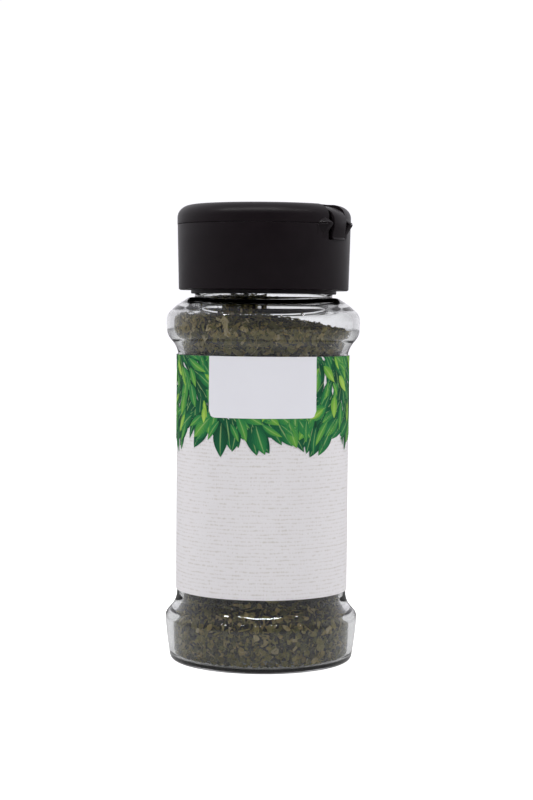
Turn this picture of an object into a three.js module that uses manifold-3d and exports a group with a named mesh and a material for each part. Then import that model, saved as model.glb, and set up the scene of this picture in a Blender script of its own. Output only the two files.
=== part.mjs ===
// Glass spice jar filled with dried parsley, closed by a screw cap with a flip-top lid over a sifter.
// Millimetres, +Z up. The origin is the middle of the base, and the label's front faces -Y.

import * as THREE from 'three';
import { mergeVertices } from 'three/addons/utils/BufferGeometryUtils.js';
import { ConvexGeometry } from 'three/addons/geometries/ConvexGeometry.js';
import Module from 'manifold-3d';

const wasm = await Module();
wasm.setup();

// How finely round things are cut
const FLATS = 36; // flats round a turned piece
const CURVE_STEPS = 3; // steps along each curved stretch of an outline
const BORE_STEPS = 2; // the same for the inside of the jar
const HOLE_SIDES = 8;

// Glass jar, outside
const STAND_INNER_RADIUS = 18.4; // inner edge of the ring that the jar stands on
const STAND_RADIUS = 20.7; // outer edge of that ring
const PUNT_HEIGHT = 2.3; // how far the middle of the base is drawn up
const PUNT_FLAT = 6; // radius of the level middle of that rise
const FOOT_RADIUS = 23.05;
const FOOT_WIDEST = 10.2; // height where the foot is widest
const WAIST_RADIUS = 20.35;
const WAIST_BOTTOM = 15.6;
const WAIST_TOP = 73.6;
const BULGE_RADIUS = 23.1;
const BULGE_MIDDLE = 80.3;
const SHOULDER_RADIUS = 18.3; // where the slope of the shoulder ends
const SHOULDER_TOP = 86.5;
const THROAT_RADIUS = 16.5; // upright wall between the shoulder and the threaded neck
const THROAT_TOP = 89.1; // its top
const NECK_RADIUS = 15.4;
const JAR_HEIGHT = 100.3;

// Glass jar, inside
const FLOOR = 3.8; // height of the middle of the base
const HEEL_FLOOR = 1.15; // height of its lowest ring, next to the wall
const FOOT_BORE = 21.1;
const WAIST_BORE = 18.95;
const BULGE_BORE = 21.5;
const THROAT_BORE = 15.4;
const MOUTH_BORE = 13.6;

// Screw thread, the same helix on the jar and in the cap
const PITCH = 3;
const THREAD_RADIUS = 0.7; // radius of the rounded ridge
const THREAD_SIDES = 6;
const THREAD_STEPS = 20; // steps in one turn
const JAR_THREAD_START = 92.4;
const JAR_THREAD_TURNS = 1.25;
const JAR_THREAD_CENTRE = 15.65;
const CAP_THREAD_TURNS = 1;
const CAP_THREAD_CENTRE = 16.55;
const THREAD_FADE = 0.1; // share of a turn over which each end sinks into its wall
const THREAD_SINK = 0.75;

// Paper label round the waist
const LABEL_GAP = 0.1; // the layer of glue
const LABEL_THICKNESS = 0.17;
const LABEL_BOTTOM = 17.05;
const LABEL_TOP = 73.2;
const LABEL_OPEN_FLATS = 2; // flats left bare at the back, where the two ends face each other

// Cap, outside shell
const CAP_BOTTOM = 88.5;
const CAP_BOTTOM_RADIUS = 20.3;
const CAP_RADIUS = 20.66;
const SHELL_WALL = 1.15;
const PARTING = 104.05; // height of the line between the cap and its lid
const PARTING_GAP = 0.16;
const LIP_CHAMFER = 0.35;

// Cap, inside
const SKIRT_RADIUS = 17.4;
const SKIRT_BORE = 16.75;
const SKIRT_BOTTOM = 87.65;
const DECK_BOTTOM = 101.4;
const DECK_TOP = 102.6;
const COLLAR_BORE = 14.7;
const COLLAR_WALL = 0.9;
const COLLAR_TOP = 105.1;
const SIFTER_HOLE_RADIUS = 2.2;
const SIFTER_RINGS = [
  { radius: 3.9, count: 4 },
  { radius: 9.8, count: 8 },
];

// Sealing ring between the deck and the rim of the jar
const SEAL_BORE = 13.7;
const SEAL_RADIUS = 16.2;
const SEAL_GAP = 0.15;

// Lid
const LID_RADIUS = 20.72;
const LID_CORNER_START = 105.75; // height where the wall begins to round over
const LID_CORNER_RISE = 2.95;
const LID_CORNER_RUN = 3.5;
const LID_HEIGHT = 109.15;
const LID_WALL = 1.2;
const LID_CEILING = 107.65;
const PLUG_RADIUS = 14.25; // ring under the lid that seals in the collar
const PLUG_WALL = 0.9;
const PLUG_BOTTOM = 103.4;
const THUMB_REACH = 1.1;
const THUMB_WIDTH = 12;
const THUMB_THICKNESS = 1.3;

// Hinge, on the right-hand side towards the back of the label
const HINGE_DIRECTION = new THREE.Vector2(0.832, -0.555).normalize();
const HINGE_REACH = 21.8; // distance of the hinge line from the middle
const STRAP_WIDTH = 6;
const SLOT_WIDTH = 7;
const SLOT_BOTTOM = 100.3;
const SLOT_INNER = 15.4; // how far the slot runs in over the top of the lid
const STRAP_CLEAR = 0.35; // gap between the strap's ends and the slot's ends
const EAR_INNER = 3.5; // along the hinge line, from the strap's middle
const EAR_OUTER = 5.2;
const EAR_END = 7.4; // where the ear has faded into the wall
const EAR_DROP = 3.1; // length of the lower ear down the cap
const EAR_RISE = 1.7; // length of the upper ear up the lid
const EAR_ROOT = 18.9; // how deep the ears reach into the wall

// Dried parsley
const SEED = 20418;
const FILL_CLEAR = 0.35; // free space between the flakes and the glass
const CORE_DEPTH = 1.75; // the core lies this far inside the glass
const CORE_FLATS = 34;
const CORE_SIDE_STEP = 3.7; // height between the rings of the core
const CORE_CORNER = 3; // height at which the side begins, above the heel
const CORE_ABOVE_FLOOR = 0.75;
const CORE_FLOOR_RINGS = [0, 10, 18]; // radii of the rings of its underside
const CORE_BELOW_EDGE = 5.5; // its side ends this far below the filling's edge
const CORE_TOP_RINGS = 5;
const CORE_BELOW_TOP = 1.3;
const CORE_CRUMPLE = 0.85; // how far its surface is crumpled in and out
const CRUMPLE_OUT = [-0.9, 1]; // as shares of that
const CRUMPLE_AROUND = 0.32; // as a share of the step from corner to corner
const CRUMPLE_UP = 0.3; // as a share of the step from ring to ring
const FILL_EDGE = 79.9; // height of the filling at the glass, half-way between its two sides
const FILL_SLOPE = -0.08; // the filling lies lower on the right
const MOUND_PLACE = -6; // the heap stands to the left of the middle
const MOUND_HEIGHT = 5.5;
const MOUND_LEFT = 11; // how far it spreads to the left, to the right, and to the front and back
const MOUND_RIGHT = 17;
const MOUND_DEEP = 13;
const FLAKE_THICKNESS = 0.62;
const FLAKE_CORNERS = [4, 5];
const FLAKE_SKEW = 0.2; // how unevenly the corners are spaced
const FLAKE_REACH = [0.75, 1.1]; // distances of the corners, as shares of the flake's size
const FLAKE_NOTCH = 0.72; // every second corner lies further in
const FLAKE_NARROW = 0.8;
const FLAKE_SIZE = [2.7, 3.9]; // half-lengths
const FLAKE_TILT = [9, 26];
const FLAKE_ROW_HEIGHT = 6.4;
const FLAKES_IN_ROW = 9;
const FLAKE_STRAY = 0.25; // how far they stray round the row, as a share of their spacing
const FLAKE_RISE = 1.3; // how far they stray up and down
const TOP_FLAKE_RINGS = [
  { radius: 2.5, count: 2 },
  { radius: 8, count: 5 },
  { radius: 13.2, count: 8 },
  { radius: 17.4, count: 10 },
];
const TOP_FLAKE_SHARE = 0.85; // size of the flakes on the mound against those at the side
const TOP_FLAKE_STAND = 0.3; // how far they stand up, as a share of their size
const TOP_FLAKE_SINK = 1.5; // how far below the filling's top they are rooted
const TOP_FLAKE_LEAN = 0.6;
const TOP_FLAKE_SHIFT = 0.8;
const TOP_FLAKE_TILT = [15, 50];

// Finishes
const GLASS = { color: 0xe6ebe8, roughness: 0.05, metalness: 0, transparent: true, opacity: 0.35 };
const PAPER = { color: 0xd7d6de, roughness: 0.75, metalness: 0 };
const BLACK_PLASTIC = { color: 0x211c22, roughness: 0.42, metalness: 0 };
const SEAL_FOAM = { color: 0xe9e6dc, roughness: 0.9, metalness: 0 };
const PARSLEY = { color: 0x5b5c45, roughness: 0.95, metalness: 0 };

// Seeded random numbers, so that the flakes always fall alike

let randomState = SEED;

function random() {
  randomState = (Math.imul(randomState, 1664525) + 1013904223) >>> 0;
  return randomState / 4294967296;
}

function between(low, high) {
  return low + (high - low) * random();
}

// Closed geometries and solids

function closedGeometry(geometry) {
  const bare = geometry.clone();
  bare.deleteAttribute('normal');
  bare.deleteAttribute('uv');
  const merged = mergeVertices(bare, 1e-4);
  const index = merged.index.array;
  const kept = [];
  for (let i = 0; i < index.length; i += 3) {
    const [a, b, c] = [index[i], index[i + 1], index[i + 2]];
    if (a !== b && b !== c && c !== a) kept.push(a, b, c);
  }
  merged.setIndex(kept);
  return merged;
}

function toSolid(geometry) {
  const closed = closedGeometry(geometry);
  return new wasm.Manifold(new wasm.Mesh({
    numProp: 3,
    vertProperties: new Float32Array(closed.attributes.position.array),
    triVerts: new Uint32Array(closed.index.array),
  }));
}

function toGeometry(solid) {
  const mesh = solid.getMesh();
  const geometry = new THREE.BufferGeometry();
  geometry.setAttribute('position', new THREE.BufferAttribute(mesh.vertProperties, 3));
  geometry.setIndex(new THREE.BufferAttribute(mesh.triVerts, 1));
  return geometry;
}

// A turned solid: the outline is drawn in radius and height, with its outside on the right
function turned(outline, flats = FLATS) {
  const geometry = new THREE.LatheGeometry(outline, flats);
  geometry.rotateX(Math.PI / 2);
  return geometry;
}

function named(name, geometry, finish) {
  const mesh = new THREE.Mesh(geometry, new THREE.MeshStandardMaterial(finish));
  mesh.name = name;
  return mesh;
}

// From out along the hinge's direction, sideways along the hinge line, and up, to the object's axes
function atHinge(out, along, up) {
  const { x, y } = HINGE_DIRECTION;
  return new THREE.Vector3(out * x - along * y, out * y + along * x, up);
}

function faceHinge(geometry) {
  const { x, y } = HINGE_DIRECTION;
  const side = new THREE.Vector3(-y, x, 0);
  const out = new THREE.Vector3(x, y, 0);
  const up = new THREE.Vector3(0, 0, 1);
  return geometry.applyMatrix4(new THREE.Matrix4().makeBasis(out, side, up));
}

// A box given along the hinge's directions
function hingeBox(outFrom, outTo, width, upFrom, upTo) {
  const box = new THREE.BoxGeometry(outTo - outFrom, width, upTo - upFrom);
  box.translate((outFrom + outTo) / 2, 0, (upFrom + upTo) / 2);
  return faceHinge(box);
}

// Screw thread

class Helix extends THREE.Curve {
  constructor(radius, start, turns, sink) {
    super();
    Object.assign(this, { radius, start, turns, sink });
  }

  getPoint(t, target = new THREE.Vector3()) {
    const turn = t * this.turns;
    const fromEnd = Math.min(turn, this.turns - turn);
    const fade = Math.max(0, 1 - fromEnd / THREAD_FADE);
    const radius = this.radius + this.sink * fade * fade;
    const angle = turn * 2 * Math.PI;
    return target.set(radius * Math.cos(angle), radius * Math.sin(angle), this.start + turn * PITCH);
  }
}

function thread(radius, start, turns, sink) {
  const section = new THREE.Shape();
  for (let i = 0; i < THREAD_SIDES; i += 1) {
    const angle = (i + 0.5) * 2 * Math.PI / THREAD_SIDES;
    const corner = [THREAD_RADIUS * Math.cos(angle), THREAD_RADIUS * Math.sin(angle)];
    if (i === 0) section.moveTo(...corner);
    else section.lineTo(...corner);
  }
  section.closePath();
  return new THREE.ExtrudeGeometry(section, {
    steps: Math.round(THREAD_STEPS * turns),
    bevelEnabled: false,
    extrudePath: new Helix(radius, start, turns, sink),
  });
}

// Glass jar

function jarOutside() {
  const line = new THREE.Path();
  line.moveTo(0, PUNT_HEIGHT);
  line.lineTo(PUNT_FLAT, PUNT_HEIGHT);
  line.quadraticCurveTo(13, PUNT_HEIGHT, 16.4, 0.8);
  line.lineTo(STAND_INNER_RADIUS, 0);
  line.lineTo(STAND_RADIUS, 0);
  line.quadraticCurveTo(STAND_RADIUS + 1.15, 0.05, 22, 1.4);
  line.quadraticCurveTo(22.8, 6.2, FOOT_RADIUS, FOOT_WIDEST);
  line.lineTo(22.95, 10.95);
  line.lineTo(21.35, 13.05);
  line.quadraticCurveTo(20.6, 14, WAIST_RADIUS, WAIST_BOTTOM);
  line.lineTo(WAIST_RADIUS, WAIST_TOP);
  line.quadraticCurveTo(20.7, 75.1, 21.6, 76.2);
  line.bezierCurveTo(22.5, 77.2, BULGE_RADIUS, 78.1, BULGE_RADIUS, BULGE_MIDDLE - 0.7);
  line.lineTo(BULGE_RADIUS, BULGE_MIDDLE + 1);
  line.bezierCurveTo(BULGE_RADIUS, 82.9, 22.3, 83.5, 20.6, 85);
  line.lineTo(SHOULDER_RADIUS, SHOULDER_TOP);
  line.lineTo(17.3, SHOULDER_TOP + 0.3);
  line.lineTo(THROAT_RADIUS, SHOULDER_TOP + 0.5);
  line.lineTo(THROAT_RADIUS, THROAT_TOP);
  line.lineTo(16.2, THROAT_TOP + 0.3);
  line.lineTo(NECK_RADIUS, 90.1);
  line.lineTo(NECK_RADIUS, JAR_HEIGHT - 0.7);
  line.lineTo(NECK_RADIUS - 0.5, JAR_HEIGHT);
  return line.getPoints(CURVE_STEPS);
}

function jarInside() {
  const line = new THREE.Path();
  line.moveTo(0, FLOOR);
  line.lineTo(PUNT_FLAT, FLOOR);
  line.quadraticCurveTo(13, FLOOR, 16.8, 2.1);
  line.lineTo(19.3, HEEL_FLOOR);
  line.quadraticCurveTo(20.6, HEEL_FLOOR, 20.75, 2.5);
  line.lineTo(FOOT_BORE, 9.6);
  line.quadraticCurveTo(FOOT_BORE, 11.2, 20.2, 12.1);
  line.quadraticCurveTo(19, 13.3, WAIST_BORE, 15.4);
  line.lineTo(WAIST_BORE, 74);
  line.quadraticCurveTo(19.3, 76, 20.4, 77.2);
  line.quadraticCurveTo(BULGE_BORE, 78.2, BULGE_BORE, BULGE_MIDDLE - 0.7);
  line.lineTo(BULGE_BORE, BULGE_MIDDLE + 0.9);
  line.bezierCurveTo(BULGE_BORE, 82.35, 20.95, 82.75, 19.55, 83.75);
  line.lineTo(18.4, 84.65);
  line.lineTo(16.5, 85);
  line.lineTo(THROAT_BORE, 85.7);
  line.lineTo(THROAT_BORE, 88.6);
  line.lineTo(14.9, 89);
  line.lineTo(MOUTH_BORE, 90.2);
  line.lineTo(MOUTH_BORE, JAR_HEIGHT - 0.5);
  line.lineTo(MOUTH_BORE + 0.4, JAR_HEIGHT);
  return line.getPoints(BORE_STEPS);
}

function jar() {
  const walls = toSolid(turned([...jarOutside(), ...jarInside().reverse()]));
  const ridge = thread(JAR_THREAD_CENTRE, JAR_THREAD_START, JAR_THREAD_TURNS, -THREAD_SINK);
  return named('jar', toGeometry(walls.add(toSolid(ridge))), GLASS);
}

// Label

function label() {
  const inner = WAIST_RADIUS + LABEL_GAP;
  const open = LABEL_OPEN_FLATS * Math.PI / FLATS;
  const from = Math.PI / 2 + open;
  const to = Math.PI / 2 - open + 2 * Math.PI;
  const outline = new THREE.Shape();
  outline.absarc(0, 0, inner + LABEL_THICKNESS, from, to, false);
  outline.absarc(0, 0, inner, to, from, true);
  outline.closePath();
  const paper = new THREE.ExtrudeGeometry(outline, {
    depth: LABEL_TOP - LABEL_BOTTOM,
    bevelEnabled: false,
    curveSegments: (FLATS - LABEL_OPEN_FLATS) / 2,
  });
  paper.translate(0, 0, LABEL_BOTTOM);
  return named('label', closedGeometry(paper), PAPER);
}

// Cap

function capOutline() {
  const shellBore = CAP_BOTTOM_RADIUS - SHELL_WALL;
  const top = PARTING - PARTING_GAP / 2;
  const rim = CAP_RADIUS - SHELL_WALL;
  const outline = [
    [0, DECK_BOTTOM],
    [SKIRT_BORE, DECK_BOTTOM],
    [SKIRT_BORE, SKIRT_BOTTOM + 0.3],
    [SKIRT_BORE + 0.2, SKIRT_BOTTOM],
    [SKIRT_RADIUS - 0.2, SKIRT_BOTTOM],
    [SKIRT_RADIUS, SKIRT_BOTTOM + 0.3],
    [SKIRT_RADIUS, DECK_BOTTOM - 0.4],
    [shellBore, DECK_BOTTOM - 0.4],
    [shellBore, CAP_BOTTOM + LIP_CHAMFER],
    [shellBore + LIP_CHAMFER, CAP_BOTTOM],
    [CAP_BOTTOM_RADIUS - LIP_CHAMFER / 2, CAP_BOTTOM],
    [CAP_BOTTOM_RADIUS, CAP_BOTTOM + LIP_CHAMFER / 2],
    [CAP_RADIUS, top - 0.25],
    [CAP_RADIUS - 0.15, top],
    [rim, top],
    [rim, DECK_TOP],
    [COLLAR_BORE + COLLAR_WALL, DECK_TOP],
    [COLLAR_BORE + COLLAR_WALL, COLLAR_TOP - 0.3],
    [COLLAR_BORE + COLLAR_WALL / 2, COLLAR_TOP],
    [COLLAR_BORE, COLLAR_TOP - 0.3],
    [COLLAR_BORE, DECK_TOP],
    [0, DECK_TOP],
  ];
  return outline.map(([radius, height]) => new THREE.Vector2(radius, height));
}

function sifterHoles() {
  const holes = [];
  for (const ring of SIFTER_RINGS) {
    for (let i = 0; i < ring.count; i += 1) {
      const angle = (i + 0.5) * 2 * Math.PI / ring.count;
      const hole = new THREE.CylinderGeometry(SIFTER_HOLE_RADIUS, SIFTER_HOLE_RADIUS, 4, HOLE_SIDES);
      hole.rotateX(Math.PI / 2);
      hole.translate(ring.radius * Math.cos(angle), ring.radius * Math.sin(angle), DECK_TOP);
      holes.push(toSolid(hole));
    }
  }
  return wasm.Manifold.union(holes);
}

// An ear beside the strap: a wedge that carries the hinge line and fades into the wall
function ear(side, hingeHeight, wallHeight) {
  const corners = [
    [EAR_ROOT, EAR_INNER, hingeHeight],
    [HINGE_REACH, EAR_INNER, hingeHeight],
    [HINGE_REACH, EAR_OUTER, hingeHeight],
    [EAR_ROOT, EAR_END, hingeHeight],
    [EAR_ROOT + 0.7, EAR_INNER, wallHeight],
    [EAR_ROOT + 0.6, EAR_OUTER, wallHeight],
    [EAR_ROOT, EAR_INNER, wallHeight],
    [EAR_ROOT, EAR_OUTER, wallHeight],
  ];
  return toSolid(new ConvexGeometry(corners.map(([out, along, up]) => atHinge(out, side * along, up))));
}

function ears(hingeHeight, wallHeight) {
  return ear(1, hingeHeight, wallHeight).add(ear(-1, hingeHeight, wallHeight));
}

function capBase() {
  const top = PARTING - PARTING_GAP / 2;
  const ridge = thread(CAP_THREAD_CENTRE, JAR_THREAD_START - PITCH / 2, CAP_THREAD_TURNS, THREAD_SINK);
  const slotDepth = CAP_RADIUS - SHELL_WALL - 0.2;
  const slot = toSolid(hingeBox(slotDepth, HINGE_REACH + 1, SLOT_WIDTH, SLOT_BOTTOM, PARTING));
  const solid = toSolid(turned(capOutline()))
    .add(toSolid(ridge))
    .add(ears(top, top - EAR_DROP))
    .subtract(slot)
    .subtract(sifterHoles());
  return named('cap_base', toGeometry(solid), BLACK_PLASTIC);
}

// Sealing ring

function sealingRing() {
  const low = JAR_HEIGHT + SEAL_GAP;
  const high = DECK_BOTTOM - SEAL_GAP;
  const outline = [
    new THREE.Vector2(SEAL_BORE, low),
    new THREE.Vector2(SEAL_RADIUS, low),
    new THREE.Vector2(SEAL_RADIUS, high),
    new THREE.Vector2(SEAL_BORE, high),
    new THREE.Vector2(SEAL_BORE, low),
  ];
  return named('sealing_ring', closedGeometry(turned(outline)), SEAL_FOAM);
}

// Lid

function lidOutline() {
  const bottom = PARTING + PARTING_GAP / 2;
  const line = new THREE.Path();
  line.moveTo(0, LID_CEILING);
  line.lineTo(PLUG_RADIUS - PLUG_WALL, LID_CEILING);
  line.lineTo(PLUG_RADIUS - PLUG_WALL, PLUG_BOTTOM);
  line.lineTo(PLUG_RADIUS - 0.3, PLUG_BOTTOM);
  line.lineTo(PLUG_RADIUS, PLUG_BOTTOM + 0.5);
  line.lineTo(PLUG_RADIUS, LID_CEILING);
  line.lineTo(LID_RADIUS - LID_WALL - 0.9, LID_CEILING);
  line.lineTo(LID_RADIUS - LID_WALL, LID_CEILING - 0.9);
  line.lineTo(LID_RADIUS - LID_WALL, bottom);
  line.lineTo(LID_RADIUS - 0.15, bottom);
  line.lineTo(LID_RADIUS, bottom + 0.2);
  const run = LID_CORNER_RUN;
  line.absellipse(LID_RADIUS - run, LID_CORNER_START, run, LID_CORNER_RISE, 0, Math.PI / 2, false);
  line.quadraticCurveTo(9, LID_HEIGHT - 0.05, 0, LID_HEIGHT);
  return line.getPoints(CURVE_STEPS);
}

// Small ledge for the thumb, opposite the hinge
function thumbLip(bottom) {
  const inner = LID_RADIUS - LID_WALL / 2;
  const outer = LID_RADIUS + THUMB_REACH;
  const half = THUMB_WIDTH / 2;
  const corners = [
    [inner - 1, half, bottom],
    [outer - 0.3, half - 2, bottom],
    [outer, half - 3, bottom + 0.3],
    [inner - 1, half, bottom + THUMB_THICKNESS + 0.6],
    [outer - 0.2, half - 3, bottom + THUMB_THICKNESS],
  ];
  const points = [];
  for (const [out, along, up] of corners) {
    points.push(atHinge(-out, along, up), atHinge(-out, -along, up));
  }
  return toSolid(new ConvexGeometry(points));
}

function lid() {
  const bottom = PARTING + PARTING_GAP / 2;
  const slot = toSolid(hingeBox(SLOT_INNER, HINGE_REACH + 1, SLOT_WIDTH, PARTING - 1, LID_HEIGHT + 1));
  const bore = toSolid(turned([
    new THREE.Vector2(0, bottom - 1),
    new THREE.Vector2(LID_RADIUS - LID_WALL, bottom - 1),
    new THREE.Vector2(LID_RADIUS - LID_WALL, LID_CEILING - 0.9),
    new THREE.Vector2(0, LID_CEILING - 0.9),
  ]));
  const lip = thumbLip(bottom).subtract(bore);
  const solid = toSolid(turned(lidOutline()))
    .add(ears(bottom, bottom + EAR_RISE))
    .add(lip)
    .subtract(slot);
  return named('lid', toGeometry(solid), BLACK_PLASTIC);
}

// Hinge strap: the springy tongue that runs from the cap over the hinge line onto the lid

function hingeStrap() {
  const low = SLOT_BOTTOM + STRAP_CLEAR;
  const inner = SLOT_INNER + STRAP_CLEAR;
  const outline = new THREE.Shape();
  outline.moveTo(20.5, low);
  outline.bezierCurveTo(21, 101.9, 21.5, 103.1, 21.4, 104.5);
  outline.bezierCurveTo(21.3, 106.3, 20.3, 107.7, inner, 108.35);
  outline.lineTo(inner, 107.55);
  outline.bezierCurveTo(19.5, 107.1, 20.4, 105.9, 20.45, 104.4);
  outline.bezierCurveTo(20.45, 103.2, 20.2, 102, 19.7, low);
  outline.closePath();
  const strap = new THREE.ExtrudeGeometry(outline, {
    depth: STRAP_WIDTH,
    bevelEnabled: false,
    curveSegments: CURVE_STEPS + 1,
  });
  strap.rotateX(Math.PI / 2);
  strap.translate(0, STRAP_WIDTH / 2, 0);
  return named('hinge_strap', closedGeometry(faceHinge(strap)), BLACK_PLASTIC);
}

// Dried parsley

const heelRing = jarInside().findIndex((point) => point.y === HEEL_FLOOR);
const floorLine = jarInside().slice(0, heelRing + 1);
const bore = jarInside().slice(heelRing);

// Height of the inside of the base at a radius
function floorHeight(radius) {
  for (let i = 1; i < floorLine.length; i += 1) {
    const [inner, outer] = [floorLine[i - 1], floorLine[i]];
    if (radius <= outer.x) {
      const share = (radius - inner.x) / (outer.x - inner.x);
      return inner.y + (outer.y - inner.y) * share;
    }
  }
  return HEEL_FLOOR;
}

// Radius of the inside of the jar at a height
function boreRadius(height) {
  for (let i = 1; i < bore.length; i += 1) {
    const [low, high] = [bore[i - 1], bore[i]];
    if (height <= high.y) {
      const share = Math.max(0, (height - low.y) / Math.max(high.y - low.y, 1e-6));
      return low.x + (high.x - low.x) * share;
    }
  }
  return MOUTH_BORE;
}

// Height of the top of the filling
function fillTop(x, y) {
  const across = (x - MOUND_PLACE) / (x > MOUND_PLACE ? MOUND_RIGHT : MOUND_LEFT);
  const deep = y / MOUND_DEEP;
  return FILL_EDGE + FILL_SLOPE * x + MOUND_HEIGHT * Math.exp(-across * across - deep * deep);
}

// Shape of the core before it is crumpled: its side, then its top as shares of the way in to the middle
function coreOutline() {
  const corner = HEEL_FLOOR + CORE_CORNER;
  const top = FILL_EDGE - CORE_BELOW_EDGE;
  const rows = Math.round((top - corner) / CORE_SIDE_STEP);
  const side = CORE_FLOOR_RINGS.map((radius) => {
    return new THREE.Vector2(radius, floorHeight(radius) + CORE_ABOVE_FLOOR);
  });
  for (let i = 0; i <= rows; i += 1) {
    const height = corner + (top - corner) * i / rows;
    side.push(new THREE.Vector2(boreRadius(height) - CORE_DEPTH, height));
  }
  const rim = [];
  for (let i = CORE_TOP_RINGS; i >= 0; i -= 1) {
    rim.push(new THREE.Vector2(i / CORE_TOP_RINGS, FILL_EDGE));
  }
  return { side, rim };
}

// A crumpled core, from which the flakes stand out
function fillCore() {
  const { side, rim } = coreOutline();
  const rings = side.length + rim.length;
  const geometry = new THREE.LatheGeometry([...side, ...rim], CORE_FLATS);
  geometry.rotateX(Math.PI / 2);
  const crumples = [];
  for (let i = 0; i < CORE_FLATS * rings; i += 1) {
    crumples.push([
      between(...CRUMPLE_OUT),
      between(-CRUMPLE_AROUND, CRUMPLE_AROUND),
      between(-CRUMPLE_UP, CRUMPLE_UP),
    ]);
  }
  const place = geometry.attributes.position;
  for (let i = 0; i < place.count; i += 1) {
    const ring = i % rings;
    const column = Math.floor(i / rings) % CORE_FLATS;
    const [out, around, up] = crumples[column * rings + ring];
    const turn = (column + (ring % 2) / 2 + around) * 2 * Math.PI / CORE_FLATS;
    const [x, y] = [Math.sin(turn), -Math.cos(turn)];
    const onAxis = ring === 0 || ring === rings - 1;
    let radius;
    let height;
    if (ring < side.length) {
      radius = onAxis ? 0 : side[ring].x + CORE_CRUMPLE * out;
      height = side[ring].y + (ring < CORE_FLOOR_RINGS.length ? 0 : up * CORE_SIDE_STEP);
    } else {
      const share = rim[ring - side.length].x;
      const edge = fillTop(BULGE_BORE * x, BULGE_BORE * y) - CORE_BELOW_TOP;
      radius = share * (boreRadius(edge) - CORE_DEPTH + CORE_CRUMPLE * out);
      height = fillTop(radius * x, radius * y) - CORE_BELOW_TOP + CORE_CRUMPLE * (onAxis ? 0 : out);
    }
    place.setXYZ(i, radius * x, radius * y, height);
  }
  return toSolid(geometry);
}

// A torn bit of leaf: a flat blade with an uneven outline, made about its own middle
function flake(size) {
  const corners = FLAKE_CORNERS[Math.floor(random() * FLAKE_CORNERS.length)];
  const outline = new THREE.Shape();
  const lean = between(0, Math.PI);
  for (let i = 0; i < corners; i += 1) {
    const angle = (i + between(-FLAKE_SKEW, FLAKE_SKEW)) * 2 * Math.PI / corners + lean;
    const reach = size * between(...FLAKE_REACH) * (i % 2 ? FLAKE_NOTCH : 1);
    const corner = [reach * Math.cos(angle), reach * Math.sin(angle) * FLAKE_NARROW];
    if (i === 0) outline.moveTo(...corner);
    else outline.lineTo(...corner);
  }
  outline.closePath();
  const blade = new THREE.ExtrudeGeometry(outline, { depth: FLAKE_THICKNESS, bevelEnabled: false });
  blade.translate(0, 0, -FLAKE_THICKNESS / 2);
  return blade;
}

// Turns a flake about its own axes: first its tilt, then its face out along the given direction
function pose(blade, out, tilt) {
  const spin = new THREE.Matrix4().makeRotationZ(between(0, 2 * Math.PI));
  const lean = new THREE.Matrix4().makeRotationX(THREE.MathUtils.degToRad(tilt));
  const twist = new THREE.Matrix4().makeRotationZ(between(0, 2 * Math.PI));
  const turn = new THREE.Quaternion().setFromUnitVectors(new THREE.Vector3(0, 0, 1), out);
  blade.applyMatrix4(spin.premultiply(lean).premultiply(twist));
  blade.applyQuaternion(turn);
}

// How far the flake's outermost corner reaches past the space that the glass leaves
function overreach(blade, centre) {
  const place = blade.attributes.position;
  let most = -Infinity;
  for (let i = 0; i < place.count; i += 1) {
    const x = place.getX(i) + centre.x;
    const y = place.getY(i) + centre.y;
    const z = place.getZ(i) + centre.z;
    most = Math.max(most, Math.hypot(x, y) - (boreRadius(z) - FILL_CLEAR));
  }
  return most;
}

function sideFlakes() {
  const blades = [];
  const lowest = HEEL_FLOOR + FLAKE_SIZE[1] + 1;
  const rows = Math.floor((FILL_EDGE + 1 - lowest) / FLAKE_ROW_HEIGHT);
  for (let row = 0; row <= rows; row += 1) {
    for (let i = 0; i < FLAKES_IN_ROW; i += 1) {
      const angle = (i + row / 2 + between(-FLAKE_STRAY, FLAKE_STRAY)) * 2 * Math.PI / FLAKES_IN_ROW;
      const out = new THREE.Vector3(Math.cos(angle), Math.sin(angle), 0);
      const height = lowest + row * FLAKE_ROW_HEIGHT + between(-FLAKE_RISE, FLAKE_RISE);
      const limit = fillTop(BULGE_BORE * out.x, BULGE_BORE * out.y) - TOP_FLAKE_SINK;
      if (height > limit) continue;
      const blade = flake(between(...FLAKE_SIZE));
      pose(blade, out, between(...FLAKE_TILT));
      const centre = out.clone().multiplyScalar(WAIST_BORE).setZ(height);
      for (let pass = 0; pass < 3; pass += 1) {
        const reach = overreach(blade, centre);
        centre.x -= reach * out.x;
        centre.y -= reach * out.y;
      }
      blade.translate(centre.x, centre.y, centre.z);
      blades.push(toSolid(blade));
    }
  }
  return blades;
}

function topFlakes() {
  const blades = [];
  for (const ring of TOP_FLAKE_RINGS) {
    for (let i = 0; i < ring.count; i += 1) {
      const angle = (i + between(-FLAKE_STRAY, FLAKE_STRAY)) * 2 * Math.PI / ring.count;
      const radius = ring.radius + between(-TOP_FLAKE_SHIFT, TOP_FLAKE_SHIFT);
      const [x, y] = [radius * Math.cos(angle), radius * Math.sin(angle)];
      const size = between(...FLAKE_SIZE) * TOP_FLAKE_SHARE;
      const blade = flake(size);
      const lean = [0, 1].map(() => between(-TOP_FLAKE_LEAN, TOP_FLAKE_LEAN));
      pose(blade, new THREE.Vector3(...lean, 1).normalize(), between(...TOP_FLAKE_TILT));
      const centre = new THREE.Vector3(x, y, fillTop(x, y) - TOP_FLAKE_SINK + TOP_FLAKE_STAND * size);
      for (let pass = 0; pass < 3; pass += 1) {
        const reach = Math.max(0, overreach(blade, centre));
        centre.x -= reach * Math.cos(angle);
        centre.y -= reach * Math.sin(angle);
      }
      blade.translate(centre.x, centre.y, centre.z);
      blades.push(toSolid(blade));
    }
  }
  return blades;
}

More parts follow.
